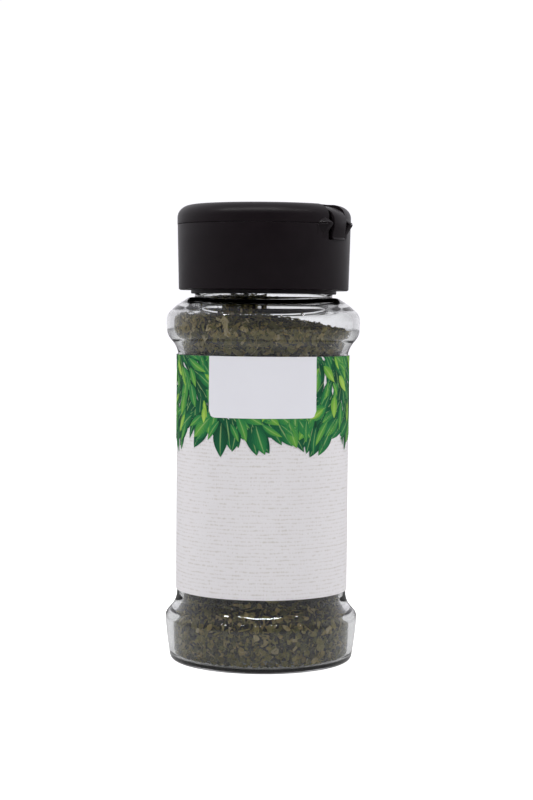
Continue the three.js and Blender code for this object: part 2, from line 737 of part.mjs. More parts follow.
function parsleyFill() {
  const heap = wasm.Manifold.union([fillCore(), ...sideFlakes(), ...topFlakes()]);
  const bodies = heap.decompose();
  bodies.sort((a, b) => b.volume() - a.volume());
  return named('parsley_fill', toGeometry(bodies[0]), PARSLEY);
}

// The whole object

const spiceJar = new THREE.Group();
spiceJar.name = 'spice_jar';
spiceJar.add(jar());
spiceJar.add(label());
spiceJar.add(parsleyFill());
spiceJar.add(sealingRing());
spiceJar.add(capBase());
spiceJar.add(lid());
spiceJar.add(hingeStrap());

export default spiceJar;
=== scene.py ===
import math
import random

import bmesh
import bpy
import numpy as np
from mathutils import Matrix, Vector, noise


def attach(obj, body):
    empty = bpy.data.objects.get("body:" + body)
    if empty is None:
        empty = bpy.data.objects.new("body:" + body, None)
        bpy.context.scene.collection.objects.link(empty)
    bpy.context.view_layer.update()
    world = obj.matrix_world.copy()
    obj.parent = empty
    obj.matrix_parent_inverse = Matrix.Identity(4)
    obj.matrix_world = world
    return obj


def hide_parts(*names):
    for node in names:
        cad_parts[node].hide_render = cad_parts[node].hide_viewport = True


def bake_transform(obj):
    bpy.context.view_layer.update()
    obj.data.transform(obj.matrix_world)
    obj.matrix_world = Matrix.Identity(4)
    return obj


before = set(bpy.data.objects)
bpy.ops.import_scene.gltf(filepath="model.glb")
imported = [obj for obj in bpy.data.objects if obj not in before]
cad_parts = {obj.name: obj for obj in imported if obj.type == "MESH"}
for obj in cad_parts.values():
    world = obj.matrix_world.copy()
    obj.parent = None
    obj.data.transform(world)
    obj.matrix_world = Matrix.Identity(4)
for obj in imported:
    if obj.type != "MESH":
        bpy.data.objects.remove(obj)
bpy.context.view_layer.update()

# A waisted glass spice jar of dried parsley under a black screw cap with a flip-up lid.
# Shapes are drawn in millimetres and brought to metres when a piece is finished.
# The front of the label faces -Y, and the lid's hinge is on the right-hand side.

MM = 0.001
TURN = 2 * math.pi

# Glass jar
ROUND_STEPS = 144
PUNT_HEIGHT = 2.3
STAND_INNER_RADIUS = 18.4
STAND_RADIUS = 20.7
FOOT_RADIUS = 23.05
FOOT_WIDEST = 10.2
WAIST_RADIUS = 20.35
WAIST_BOTTOM = 15.6
WAIST_TOP = 73.6
BULGE_RADIUS = 23.1
BULGE_MIDDLE = 80.3
SHOULDER_RADIUS = 18.3
SHOULDER_TOP = 86.5
THROAT_RADIUS = 16.5
THROAT_TOP = 89.1
NECK_RADIUS = 15.4
JAR_HEIGHT = 100.3
BASE_TOP = 3.8
HEEL_TOP = 1.15
FOOT_BORE = 21.1
WAIST_BORE = 18.95
BULGE_BORE = 21.5
THROAT_BORE = 15.4
MOUTH_BORE = 13.6

# Screw thread, with the lowest and highest place on each wall that carries it
PITCH = 3
THREAD_RADIUS = 0.7
THREAD_ROW = 0.2
JAR_THREAD_ROOM = (91, 98)
CAP_THREAD_ROOM = (90, 98)
JAR_THREAD_START = 92.4
JAR_THREAD_TURNS = 1.25
JAR_THREAD_CENTRE = 15.65
CAP_THREAD_START = JAR_THREAD_START - PITCH / 2
CAP_THREAD_TURNS = 1
CAP_THREAD_CENTRE = 16.55
THREAD_FADE = 0.1

# Label
LABEL_INNER = WAIST_RADIUS + 0.1
LABEL_RADIUS = LABEL_INNER + 0.17
LABEL_BOTTOM = 17.05
LABEL_TOP = 73.2
LABEL_OPEN = math.radians(20)
LABEL_STEPS = 136

# White field at the top of the label, from just off the paper to its front
FIELD_HALF = 13.2
FIELD_BOTTOM = 59.0
FIELD_CORNER = 1.6
FIELD_BACK = 0.002
FIELD_FRONT = 0.16

# Leaf print, its first leaf and the depth of them all in front of the paper
LEAF_START = 0.012
LEAF_DEPTH = 0.125
LEAF_SEED = 611
# Leaf forms: width and bow for a length of one
LEAF_FORMS = ((0.34, 0.12), (0.5, -0.06), (0.42, 0.04), (0.28, -0.16))
# Layers of the garland: spacing, length and shade of the leaves, and the share that is drawn
GARLAND_LAYERS = ((2.0, 6.8, 0.24, 1.0), (2.7, 5.8, 0.5, 0.8), (4.2, 4.6, 0.8, 0.7))
GARLAND_BOTTOM = 57.0
GARLAND_WAVE = 0.8
GARLAND_SWAY = math.radians(48)
PRINT_MARGIN = 0.01

# Cap
CAP_BOTTOM = 88.5
CAP_BOTTOM_RADIUS = 20.3
CAP_RADIUS = 20.66
SHELL_WALL = 1.15
PARTING = 104.05
PARTING_GAP = 0.08
SKIRT_RADIUS = 17.4
SKIRT_BORE = 16.75
SKIRT_BOTTOM = 87.65
DECK_BOTTOM = 101.4
DECK_TOP = 102.6
COLLAR_BORE = 14.7
COLLAR_WALL = 0.9
COLLAR_TOP = 105.1
SIFTER_HOLE_RADIUS = 2.2
SIFTER_RINGS = ((3.9, 4), (9.8, 8))
SEAL_BORE = 13.7
SEAL_RADIUS = 16.2
SEAL_BOTTOM = 100.45
SEAL_TOP = 101.25

# Lid
LID_RADIUS = 20.72
LID_CORNER_START = 105.75
LID_CORNER_RISE = 2.95
LID_CORNER_RUN = 3.5
LID_HEIGHT = 109.15
LID_WALL = 1.2
LID_CEILING = 107.65
PLUG_RADIUS = 14.25
PLUG_WALL = 0.9
PLUG_BOTTOM = 103.4
THUMB_REACH = 1.1
THUMB_WIDTH = 12
THUMB_THICKNESS = 1.3

# Hinge
HINGE_OUT = Vector((0.832, -0.555, 0)).normalized()
HINGE_ALONG = Vector((-HINGE_OUT.y, HINGE_OUT.x, 0))
HINGE_REACH = 21.8
STRAP_WIDTH = 5.2
SLOT_WIDTH = 7
SLOT_BOTTOM = 100.3
SLOT_INNER = 15.4
EAR_INNER = 3.5
EAR_OUTER = 5.2
EAR_END = 7.4
EAR_DROP = 3.1
EAR_RISE = 1.7
EAR_ROOT = 18.9
EAR_ROUNDING = 0.42

# Parsley
FILL_EDGE = 79.9
FILL_SLOPE = -0.08
MOUND_PLACE = -5
MOUND_HEIGHT = 6.0
MOUND_LEFT = 11
MOUND_RIGHT = 15.5
MOUND_DEEP = 13
GLASS_CLEAR = 0.07
CORE_DEPTH = 1.5
CORE_TOP = 76.5
CORE_RADIUS = 19
FLAKE_THICKNESS = 0.1
# Flake forms: corners, width for a length of one, curl and fold
FLAKE_FORMS = (
    (7, 0.5, 0.35, 0.1),
    (6, 0.4, -0.3, 0.3),
    (8, 0.7, 0.2, 0.35),
    (6, 0.3, 0.5, 0.0),
    (7, 0.6, -0.45, 0.15),
    (5, 0.42, 0.15, 0.5),
    (7, 0.45, 0.6, 0.25),
    (6, 0.75, 0.1, 0.2),
)
# Flakes against the glass: name, seed, lowest, highest, pitch, depths, sizes, share of stalks, usual shade
WALL_FLAKES = (
    ("parsley_in_foot", 5, 1.2, 16.0, 1.1, (0.15, 0.6), (0.5, 1.35), 0.08, 0.38),
    ("parsley_in_waist", 6, 16.0, 74.0, 2.5, (0.25,), (1.2, 2.2), 0.05, 0.38),
    # The bulge's flakes have a lighter usual shade: painted light, standing in for the reflection that
    # brightens the bulge.
    ("parsley_in_bulge", 7, 74.0, 84.0, 1.15, (0.15, 0.6), (0.6, 1.75), 0.08, 0.48),
)
TOP_SEED = 77
TOP_SHADE = 0.45
TOP_LAYERS = (620, 620, 620, 380)
CLINGING_FLAKES = 60
LOWEST_FLAKES = 520

# Camera: lens and frame in millimetres, place in metres, turns in degrees
CAMERA_LENS = 81.4
CAMERA_FRAME = 36
CAMERA_PLACE = (0.0009, -0.434, 0.0844)
CAMERA_DIP = 2.92
CAMERA_ROLL = 0.48

# Studio walls: brightness by the angle in degrees from straight behind the jar
WALL_LEVELS = ((0, 0.98), (15, 0.88), (30, 0.66), (50, 0.58), (90, 0.42), (120, 0.15), (180, 0.03))
WALL_THROUGH_GLASS = 0.55
WALL_TO_CAMERA = 1.05
WALL_TINT = (0.985, 0.975, 1.02, 1)

# Floor, in millimetres, with the air under the glass foot
FLOOR_HALF = 2500
FLOOR_GAP = 0.05

# Lights as name, place, size and power, in metres and watts
LIGHT_AIM = (0, 0, 0.055)
SOFTBOXES = (
    ("side softbox", (-0.72, -0.42, 0.5), (0.5, 0.7), 3.9),
    ("side softbox", (0.72, -0.42, 0.5), (0.5, 0.7), 3.9),
    ("overhead softbox", (0, -0.1, 0.9), (0.6, 0.6), 1.8),
)
ROW_LAMPS = 20
ROW_MIDDLE = -0.022
ROW_PITCH = 0.033
ROW_HEIGHT = 0.77
ROW_FRONT = -0.42
ROW_LAMP_SIZE = (0.011, 0.035)
ROW_LAMP_POWER = 0.075
END_LAMPS = (
    ("end lamp", (-0.6, -0.36, 0.85), (0.1, 0.08), 0.9),
    ("end lamp", (0.64, -0.36, 0.85), (0.05, 0.08), 0.4),
)


# Camera, walls and light


def set_camera():
    camera = bpy.data.objects.new("camera", bpy.data.cameras.new("camera"))
    bpy.context.scene.collection.objects.link(camera)
    camera.data.lens = CAMERA_LENS
    camera.data.sensor_width = CAMERA_FRAME
    camera.data.clip_start = 0.01
    place = Matrix.Translation(CAMERA_PLACE)
    tilt = Matrix.Rotation(math.radians(90 - CAMERA_DIP), 4, "X")
    roll = Matrix.Rotation(math.radians(CAMERA_ROLL), 4, "Z")
    camera.matrix_world = place @ tilt @ roll
    bpy.context.scene.camera = camera


def studio_light(name, place, size, power, reflected=False):
    """A rectangular light. It either lights the jar or shows as a bright spot in its glossy surfaces."""
    light = bpy.data.lights.new(name, "AREA")
    light.shape = "RECTANGLE"
    light.size, light.size_y = size
    light.energy = power
    lamp = bpy.data.objects.new(name, light)
    bpy.context.scene.collection.objects.link(lamp)
    lamp.location = place
    lamp.rotation_euler = (Vector(LIGHT_AIM) - Vector(place)).to_track_quat("-Z", "Y").to_euler()
    lamp.visible_camera = False
    lamp.visible_diffuse = not reflected
    lamp.visible_glossy = reflected
    lamp.visible_transmission = False


def set_lights():
    """Soft light from both sides and above, and a row of small lamps that shows as dots in the glass."""
    for softbox in SOFTBOXES:
        studio_light(*softbox)
    for i in range(ROW_LAMPS):
        place = (ROW_MIDDLE + ROW_PITCH * (i - (ROW_LAMPS - 1) / 2), ROW_FRONT, ROW_HEIGHT)
        studio_light("row lamp", place, ROW_LAMP_SIZE, ROW_LAMP_POWER, reflected=True)
    for end_lamp in END_LAMPS:
        studio_light(*end_lamp, reflected=True)


def set_studio_walls():
    """White to the camera. What lights the jar is brightest straight behind it and dark in front, but not
    where it is seen through the glass."""
    world = bpy.data.worlds.new("studio")
    world.use_nodes = True
    place = add_node(world, "TexCoord").outputs["Generated"]
    backward = add_node(world, "SeparateXYZ", {"Vector": place}).outputs["Y"]
    angle = add_node(world, "Math", {0: backward}, operation="ARCCOSINE").outputs[0]
    turned = add_node(world, "MapRange", {"Value": angle, "From Max": math.pi}).outputs["Result"]
    wall = colour_ramp(world, turned, [(degrees / 180, (level,) * 3) for degrees, level in WALL_LEVELS])
    path = add_node(world, "LightPath").outputs
    direct = add_node(world, "Math", {0: path["Diffuse Depth"], 1: 0.5}, operation="LESS_THAN").outputs[0]
    through = add_node(
        world, "Math", {0: direct, 1: path["Is Transmission Ray"]}, operation="MULTIPLY"
    ).outputs[0]
    least = add_node(world, "Math", {0: through, 1: WALL_THROUGH_GLASS}, operation="MULTIPLY").outputs[0]
    lit = add_node(world, "Math", {0: wall, 1: least}, operation="MAXIMUM").outputs[0]
    seen = add_node(world, "Mix", {"Factor": path["Is Camera Ray"], "A": lit, "B": WALL_TO_CAMERA})
    background = world.node_tree.nodes["Background"]
    background.inputs["Color"].default_value = WALL_TINT
    world.node_tree.links.new(seen.outputs["Result"], background.inputs["Strength"])
    bpy.context.scene.world = world


# Making pieces


def bend(outline, *controls, steps=8):
    """Goes on from the outline's last point along a smooth curve through the pull of its controls."""
    start = [Vector(outline[-1]), *(Vector(c) for c in controls)]
    for i in range(1, steps + 1):
        points = start
        while len(points) > 1:
            points = [a.lerp(b, i / steps) for a, b in zip(points, points[1:])]
        outline.append(tuple(points[0]))


def lathe(outline, steps=ROUND_STEPS, closed=False, angle=TURN, start=0):
    """Turns an outline of radius and height about the jar's axis."""
    bm = bmesh.new()
    across = Vector((math.sin(start), -math.cos(start), 0))
    verts = [bm.verts.new(across * r + Vector((0, 0, z))) for r, z in outline]
    edges = [bm.edges.new(pair) for pair in zip(verts, verts[1:])]
    if closed:
        edges.append(bm.edges.new((verts[-1], verts[0])))
    full = abs(angle - TURN) < 1e-6
    made = bmesh.ops.spin(
        bm, geom=verts + edges, cent=(0, 0, 0), axis=(0, 0, 1), angle=angle, steps=steps, use_merge=full
    )
    if not full:
        last = [e for e in made["geom_last"] if isinstance(e, bmesh.types.BMEdge)]
        bmesh.ops.contextual_create(bm, geom=edges)
        bmesh.ops.contextual_create(bm, geom=last)
    bmesh.ops.remove_doubles(bm, verts=bm.verts, dist=1e-4)
    bmesh.ops.recalc_face_normals(bm, faces=bm.faces)
    return bm


def hull(corners, rounding=0.0):
    """A solid stretched over its corners, with its edges rounded where a rounding is given."""
    bm = bmesh.new()
    verts = [bm.verts.new(c) for c in corners]
    made = bmesh.ops.convex_hull(bm, input=verts)
    loose = [v for v in made["geom_interior"] + made["geom_unused"] if isinstance(v, bmesh.types.BMVert)]
    bmesh.ops.delete(bm, geom=loose, context="VERTS")
    bmesh.ops.dissolve_limit(bm, angle_limit=math.radians(2), verts=bm.verts, edges=bm.edges)
    bmesh.ops.recalc_face_normals(bm, faces=bm.faces)
    if rounding:
        bmesh.ops.bevel(
            bm, geom=bm.edges[:], offset=rounding, segments=3, profile=0.5, affect="EDGES", material=-1,
            clamp_overlap=True,
        )
    return bm


def at_hinge(out, along, up):
    return HINGE_OUT * out + HINGE_ALONG * along + Vector((0, 0, up))


def hinge_block(out_from, out_to, width, up_from, up_to):
    corners = [
        at_hinge(out, along, up)
        for out in (out_from, out_to)
        for along in (-width / 2, width / 2)
        for up in (up_from, up_to)
    ]
    return hull(corners)


def combined(bm, tool, operation):
    """The first solid with the second joined on or cut away."""
    holders = []
    for part in (bm, tool):
        mesh = bpy.data.meshes.new("work")
        part.to_mesh(mesh)
        part.free()
        holder = bpy.data.objects.new("work", mesh)
        bpy.context.scene.collection.objects.link(holder)
        holders.append(holder)
    cut = holders[0].modifiers.new("cut", "BOOLEAN")
    cut.operation = operation
    cut.object = holders[1]
    cut.solver = "EXACT"
    done = holders[0].evaluated_get(bpy.context.evaluated_depsgraph_get())
    result = bmesh.new()
    result.from_mesh(done.to_mesh())
    done.to_mesh_clear()
    for holder in holders:
        mesh = holder.data
        bpy.data.objects.remove(holder)
        bpy.data.meshes.remove(mesh)
    bmesh.ops.remove_doubles(result, verts=result.verts, dist=1e-4)
    return result


def to_piece(name, bm, material, smooth=35):
    """The finished bmesh as an object in metres, smooth but for edges sharper than the given angle."""
    bmesh.ops.scale(bm, vec=(MM, MM, MM), verts=bm.verts)
    for face in bm.faces:
        face.smooth = True
    for edge in bm.edges:
        edge.smooth = len(edge.link_faces) != 2 or edge.calc_face_angle(0) < math.radians(smooth)
    mesh = bpy.data.meshes.new(name)
    bm.to_mesh(mesh)
    bm.free()
    mesh.materials.append(material)
    piece = bpy.data.objects.new(name, mesh)
    bpy.context.scene.collection.objects.link(piece)
    return piece


# Materials


def new_material(name, **settings):
    """A material whose own shader has the given settings, under the shader's names with _ for a space."""
    material = bpy.data.materials.new(name)
    material.use_nodes = True
    shader = material.node_tree.nodes["Principled BSDF"]
    for key, value in settings.items():
        shader.inputs[key.replace("_", " ")].default_value = value
    return material


def add_node(owner, kind, inputs=None, **settings):
    """A new node of a material or the world, with its inputs set or linked."""
    node = owner.node_tree.nodes.new("ShaderNode" + kind)
    for key, value in settings.items():
        setattr(node, key, value)
    for key, value in (inputs or {}).items():
        if isinstance(value, bpy.types.NodeSocket):
            owner.node_tree.links.new(value, node.inputs[key])
        else:
            node.inputs[key].default_value = value
    return node


def to_shader(material, key, socket):
    shader = material.node_tree.nodes["Principled BSDF"]
    material.node_tree.links.new(socket, shader.inputs[key])


def colour_ramp(owner, factor, stops):
    ramp = add_node(owner, "ValToRGB", {"Fac": factor})
    while len(ramp.color_ramp.elements) < len(stops):
        ramp.color_ramp.elements.new(0.5)
    for element, (place, colour) in zip(ramp.color_ramp.elements, stops):
        element.position = place
        element.color = (*colour, 1)
    return ramp.outputs["Color"]


def add_bump(material, height, distance, strength=1.0):
    bump = add_node(material, "Bump", {"Height": height, "Distance": distance, "Strength": strength})
    to_shader(material, "Normal", bump.outputs["Normal"])


def noise_of(material, place, scale, detail=3.0, roughness=0.5):
    return add_node(
        material, "TexNoise", {"Vector": place, "Scale": scale, "Detail": detail, "Roughness": roughness}
    ).outputs["Fac"]


def object_place(material):
    return add_node(material, "TexCoord").outputs["Object"]


def clear_glass():
    material = new_material(
        "clear glass", Base_Color=(0.975, 0.985, 0.98, 1), Roughness=0.0, IOR=1.5, Transmission_Weight=1.0
    )
    place = object_place(material)
    add_bump(material, noise_of(material, place, scale=90, detail=2), distance=0.00012, strength=0.15)
    return material


def label_paper():
    """Off-white paper printed with a linen weave: uneven threads along the label, finer ones across."""
    material = new_material("linen label paper", Roughness=0.82, Specular_IOR_Level=0.25)
    uv = add_node(material, "UVMap", uv_map="label").outputs["UV"]
    ribs = add_node(
        material, "TexWave",
        {"Vector": uv, "Scale": 0.36, "Distortion": 1.6, "Detail": 2.0, "Detail Scale": 0.8},
        bands_direction="Y",
    ).outputs["Fac"]
    along = add_node(material, "Mapping", {"Vector": uv, "Scale": (0.3, 1.3, 1)}).outputs["Vector"]
    threads = noise_of(material, along, scale=1.0, detail=4, roughness=0.6)
    across = add_node(material, "Mapping", {"Vector": uv, "Scale": (2.6, 0.8, 1)}).outputs["Vector"]
    weft = noise_of(material, across, scale=1.0, detail=3, roughness=0.6)
    woven = add_node(material, "Math", {0: threads, 1: 0.9, 2: weft}, operation="MULTIPLY_ADD").outputs[0]
    shade = add_node(material, "Math", {0: ribs, 1: 0.34, 2: woven}, operation="MULTIPLY_ADD").outputs[0]
    to_shader(
        material, "Base Color",
        colour_ramp(
            material, shade,
            [(0.76, (0.67, 0.64, 0.62)), (1.0, (0.775, 0.75, 0.755)), (1.0, (0.815, 0.795, 0.81))],
        ),
    )
    add_bump(material, shade, distance=0.00004, strength=0.5)
    return material


def field_paper():
    """The bare white field of the label."""
    material = new_material(
        "white label field", Base_Color=(0.85, 0.85, 0.90, 1), Roughness=0.7, Specular_IOR_Level=0.3
    )
    place = object_place(material)
    add_bump(material, noise_of(material, place, scale=2600), distance=0.00002, strength=0.3)
    return material


def leaf_ink():
    """Printed leaves: each has its own green, a pale midrib, side veins and a darker base."""
    material = new_material("leaf print", Roughness=0.7, Specular_IOR_Level=0.3)
    uv = add_node(material, "UVMap", uv_map="leaf").outputs["UV"]
    own = add_node(material, "Attribute", attribute_name="leaf_shade").outputs["Fac"]
    split = add_node(material, "SeparateXYZ", {"Vector": uv})
    along, across = split.outputs["X"], split.outputs["Y"]
    off_rib = add_node(material, "Math", {0: across, 1: 0.5}, operation="SUBTRACT").outputs[0]
    off_rib = add_node(material, "Math", {0: off_rib}, operation="ABSOLUTE").outputs[0]
    slant = add_node(material, "Math", {0: off_rib, 1: -1.1, 2: along}, operation="MULTIPLY_ADD").outputs[0]
    vein = add_node(material, "Math", {0: slant, 1: 44.0}, operation="MULTIPLY").outputs[0]
    vein = add_node(material, "Math", {0: vein}, operation="SINE").outputs[0]
    lit = add_node(material, "Math", {0: vein, 1: 0.07, 2: own}, operation="MULTIPLY_ADD").outputs[0]
    lit = add_node(material, "Math", {0: along, 1: 0.22, 2: lit}, operation="MULTIPLY_ADD").outputs[0]
    lit = add_node(material, "Math", {0: off_rib, 1: -0.35, 2: lit}, operation="MULTIPLY_ADD").outputs[0]
    green = colour_ramp(
        material, lit,
        [
            (0.0, (0.004, 0.045, 0.022)),
            (0.3, (0.006, 0.115, 0.045)),
            (0.55, (0.03, 0.24, 0.06)),
            (0.8, (0.17, 0.42, 0.045)),
            (1.0, (0.40, 0.60, 0.09)),
        ],
    )
    rib = add_node(
        material, "MapRange",
        {"Value": off_rib, "From Min": 0.02, "From Max": 0.07, "To Min": 0.55, "To Max": 0.0},
    ).outputs["Result"]
    mixed = add_node(
        material, "Mix", {"Factor": rib, "A": green, "B": (0.35, 0.52, 0.2, 1)}, data_type="RGBA"
    )
    to_shader(material, "Base Color", mixed.outputs["Result"])
    return material


def black_plastic():
    """Satin moulded plastic with a faint grain."""
    material = new_material("black satin plastic", Specular_IOR_Level=0.40)
    place = object_place(material)
    grain = noise_of(material, place, scale=3800)
    cloud = noise_of(material, place, scale=240)
    to_shader(
        material, "Base Color",
        colour_ramp(material, cloud, [(0.3, (0.0052, 0.0022, 0.0040)), (0.7, (0.0070, 0.0032, 0.0055))]),
    )
    rough = add_node(material, "MapRange", {"Value": cloud, "To Min": 0.34, "To Max": 0.46})
    to_shader(material, "Roughness", rough.outputs["Result"])
    add_bump(material, grain, distance=0.00001, strength=0.5)
    return material


def seal_foam():
    material = new_material("sealing foam", Roughness=0.9, Specular_IOR_Level=0.2)
    place = object_place(material)
    cells = add_node(material, "TexVoronoi", {"Vector": place, "Scale": 5200.0}).outputs["Distance"]
    to_shader(
        material, "Base Color",
        colour_ramp(material, cells, [(0.1, (0.82, 0.80, 0.73)), (0.7, (0.66, 0.64, 0.57))]),
    )
    add_bump(material, cells, distance=0.00003, strength=0.6)
    return material


def dried_leaf():
    """Dried parsley: each flake has its own place between green, olive and tan, mottled and veined."""
    material = new_material("dried parsley leaf", Roughness=0.8, Specular_IOR_Level=0.3)
    own = add_node(material, "Attribute", attribute_name="flake_shade").outputs["Fac"]
    place = object_place(material)
    mottle = noise_of(material, place, scale=1300, detail=4, roughness=0.65)
    lit = add_node(material, "Math", {0: mottle, 1: 0.42, 2: own}, operation="MULTIPLY_ADD").outputs[0]
    lit = add_node(material, "Math", {0: lit, 1: 0.21}, operation="SUBTRACT").outputs[0]
    to_shader(
        material, "Base Color",
        colour_ramp(
            material, lit,
            [
                (0.0, (0.020, 0.015, 0.005)),
                (0.18, (0.070, 0.060, 0.018)),
                (0.36, (0.150, 0.134, 0.030)),
                (0.54, (0.240, 0.208, 0.055)),
                (0.68, (0.350, 0.290, 0.100)),
                (0.82, (0.37, 0.27, 0.085)),
                (1.0, (0.58, 0.49, 0.28)),
            ],
        ),
    )
    add_bump(material, noise_of(material, place, scale=3200), distance=0.00006, strength=0.6)
    return material


def dried_core():
    """The heap in between the flakes, in their shade: its colour is painted shade, far darker than the
    flakes.
    """
    material = new_material("dried parsley heap", Roughness=0.95, Specular_IOR_Level=0.1)
    place = object_place(material)
    mottle = noise_of(material, place, scale=900, detail=5, roughness=0.7)
    # Painted shade: the heap's colour is kept near black for the dark gaps between the flakes.
    to_shader(
        material, "Base Color",
        colour_ramp(
            material, mottle,
            [(0.35, (0.012, 0.009, 0.003)), (0.55, (0.040, 0.034, 0.012)), (0.7, (0.11, 0.095, 0.035))],
        ),
    )
    add_bump(material, mottle, distance=0.0006, strength=0.8)
    return material


def floor_white():
    """White to the camera as the walls are, a pale table for all that it lights, and dimmer in reflections
    except close round the foot."""
    material = new_material(
        "pale floor", Roughness=0.9, Specular_IOR_Level=0.0, Emission_Color=(1, 1, 1, 1)
    )
    path = add_node(material, "LightPath").outputs
    glow = add_node(
        material, "MapRange", {"Value": path["Is Camera Ray"], "To Min": 0.03, "To Max": 1.0}
    ).outputs["Result"]
    mirrored = add_node(
        material, "Math", {0: path["Is Glossy Ray"], 1: path["Is Transmission Ray"]},
        operation="SUBTRACT", use_clamp=True,
    ).outputs[0]
    to_shader(
        material, "Base Color",
        colour_ramp(material, mirrored, [(0, (0.8, 0.8, 0.8)), (1, (0.2, 0.2, 0.2))]),
    )
    # Painted glow: close round the foot the floor gives off extra light seen only in reflections. Elsewhere
    # reflections see it painted darker.
    out = add_node(material, "VectorMath", {0: object_place(material)}, operation="LENGTH").outputs["Value"]
    near = add_node(
        material, "MapRange",
        {"Value": out, "From Min": 0.06, "From Max": 0.08, "To Min": 0.35, "To Max": 0.0},
    ).outputs["Result"]
    glow = add_node(material, "Math", {0: near, 1: mirrored, 2: glow}, operation="MULTIPLY_ADD").outputs[0]
    to_shader(material, "Emission Strength", glow)
    return material


# Glass jar


def jar_outside():
    line = [(0, PUNT_HEIGHT), (6, PUNT_HEIGHT)]
    bend(line, (13, PUNT_HEIGHT), (16.4, 0.8), steps=8)
    bend(line, (17.8, 0.25), (STAND_INNER_RADIUS, 0), steps=4)
    line.append((STAND_RADIUS, 0))
    bend(line, (21.85, 0.05), (22, 1.4))
    bend(line, (22.8, 6.2), (FOOT_RADIUS, FOOT_WIDEST), steps=10)
    bend(line, (23.05, 11.1), (22.3, 11.9), steps=6)
    bend(line, (21.75, 12.45), (21.35, 13.05), steps=4)
    bend(line, (20.6, 14), (WAIST_RADIUS, WAIST_BOTTOM))
    line.append((WAIST_RADIUS, 44.5))
    line.append((WAIST_RADIUS, WAIST_TOP))
    bend(line, (20.7, 75.1), (21.6, 76.2))
    bend(line, (22.5, 77.2), (BULGE_RADIUS, 78.1), (BULGE_RADIUS, BULGE_MIDDLE - 0.7))
    line.append((BULGE_RADIUS, BULGE_MIDDLE + 1))
    bend(line, (BULGE_RADIUS, 82.9), (22.3, 83.5), (20.6, 85), steps=10)
    line.append((SHOULDER_RADIUS, SHOULDER_TOP))
    bend(line, (17.7, 87), (THROAT_RADIUS, 86.75), (THROAT_RADIUS, 87), steps=8)
    line.append((THROAT_RADIUS, THROAT_TOP))
    bend(line, (THROAT_RADIUS, THROAT_TOP + 0.25), (16.2, THROAT_TOP + 0.3), steps=4)
    bend(line, (15.7, 89.7), (NECK_RADIUS, 89.8), (NECK_RADIUS, 90.2))
    low, high = JAR_THREAD_ROOM
    line.append((NECK_RADIUS, low))
    rows = round((high - low) / THREAD_ROW)
    line += [(NECK_RADIUS, low + (high - low) * (i + 1) / rows) for i in range(rows)]
    line.append((NECK_RADIUS, JAR_HEIGHT - 0.8))
    bend(line, (NECK_RADIUS, JAR_HEIGHT), (NECK_RADIUS - 0.7, JAR_HEIGHT), steps=5)
    return line


def jar_inside():
    line = [(0, BASE_TOP), (6, BASE_TOP)]
    bend(line, (13, BASE_TOP), (16.8, 2.1), steps=8)
    bend(line, (18.7, HEEL_TOP), (19.6, HEEL_TOP), steps=5)
    bend(line, (20.6, HEEL_TOP), (20.75, 2.5), steps=8)
    bend(line, (20.98, 6), (FOOT_BORE, 9.6), steps=6)
    bend(line, (FOOT_BORE, 11.2), (20.2, 12.1))
    bend(line, (19, 13.3), (WAIST_BORE, 15.4))
    line.append((WAIST_BORE, 44.5))
    line.append((WAIST_BORE, 74))
    bend(line, (19.3, 76), (20.4, 77.2))
    bend(line, (BULGE_BORE, 78.2), (BULGE_BORE, BULGE_MIDDLE - 0.7))
    line.append((BULGE_BORE, BULGE_MIDDLE + 0.9))
    bend(line, (BULGE_BORE, 82.35), (20.95, 82.75), (19.55, 83.75), steps=10)
    line.append((18.8, 84.35))
    bend(line, (18.2, 84.85), (17, 84.8), (16.4, 85), steps=6)
    bend(line, (THROAT_BORE, 85.25), (THROAT_BORE, 86), steps=6)
    line.append((THROAT_BORE, 88.5))
    bend(line, (THROAT_BORE, 88.8), (14.9, 89), steps=5)
    bend(line, (13.9, 89.8), (MOUTH_BORE, 89.9), (MOUTH_BORE, 90.4), steps=6)
    line.append((MOUTH_BORE, JAR_HEIGHT - 0.6))
    bend(line, (MOUTH_BORE, JAR_HEIGHT), (MOUTH_BORE + 0.6, JAR_HEIGHT), steps=4)
    return line


def thread_crest(angle, height, start, turns, shell, centre):
    """The radius of a thread's ridge at an angle and height, or 0 where there is none."""
    share = (angle / TURN) % 1
    reach = 0.0
    for turn in (share, share + 1):
        if turn > turns:
            continue
        apart = abs(height - start - PITCH * turn) / THREAD_RADIUS
        if apart >= 1:
            continue
        fade = max(0, 1 - min(turn, turns - turn) / THREAD_FADE)
        crest = centre + shell * (THREAD_RADIUS * math.sqrt(1 - apart * apart) - fade * fade)
        reach = crest if not reach else shell * max(shell * reach, shell * crest)
    return reach


def cut_thread(bm, wall, room, start, turns, shell, centre):
    """Draws the ridge of a thread out of a round wall, outwards for a shell of 1, inwards for -1."""
    low, high = room
    for vert in bm.verts:
        radius = math.hypot(vert.co.x, vert.co.y)
        if abs(radius - wall) < 1e-3 and low < vert.co.z < high:
            angle = math.atan2(vert.co.y, vert.co.x)
            crest = thread_crest(angle, vert.co.z, start, turns, shell, centre)
            if crest and shell * crest > shell * wall:
                vert.co.xy *= crest / radius


def make_jar():
    outline = jar_outside() + jar_inside()[::-1]
    bm = lathe(outline)
    cut_thread(
        bm, NECK_RADIUS, JAR_THREAD_ROOM, JAR_THREAD_START, JAR_THREAD_TURNS, 1, JAR_THREAD_CENTRE
    )
    bmesh.ops.recalc_face_normals(bm, faces=bm.faces)
    jar = to_piece("glass_jar", bm, clear_glass(), smooth=60)
    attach(jar, "jar")
    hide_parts("jar")


# Label and its print


def wrapped(arc, height, out):
    """A place on the label, from the arc's length to the right of its middle and the height."""
    angle = arc / LABEL_RADIUS
    radius = LABEL_RADIUS + out
    return Vector((radius * math.sin(angle), -radius * math.cos(angle), height))


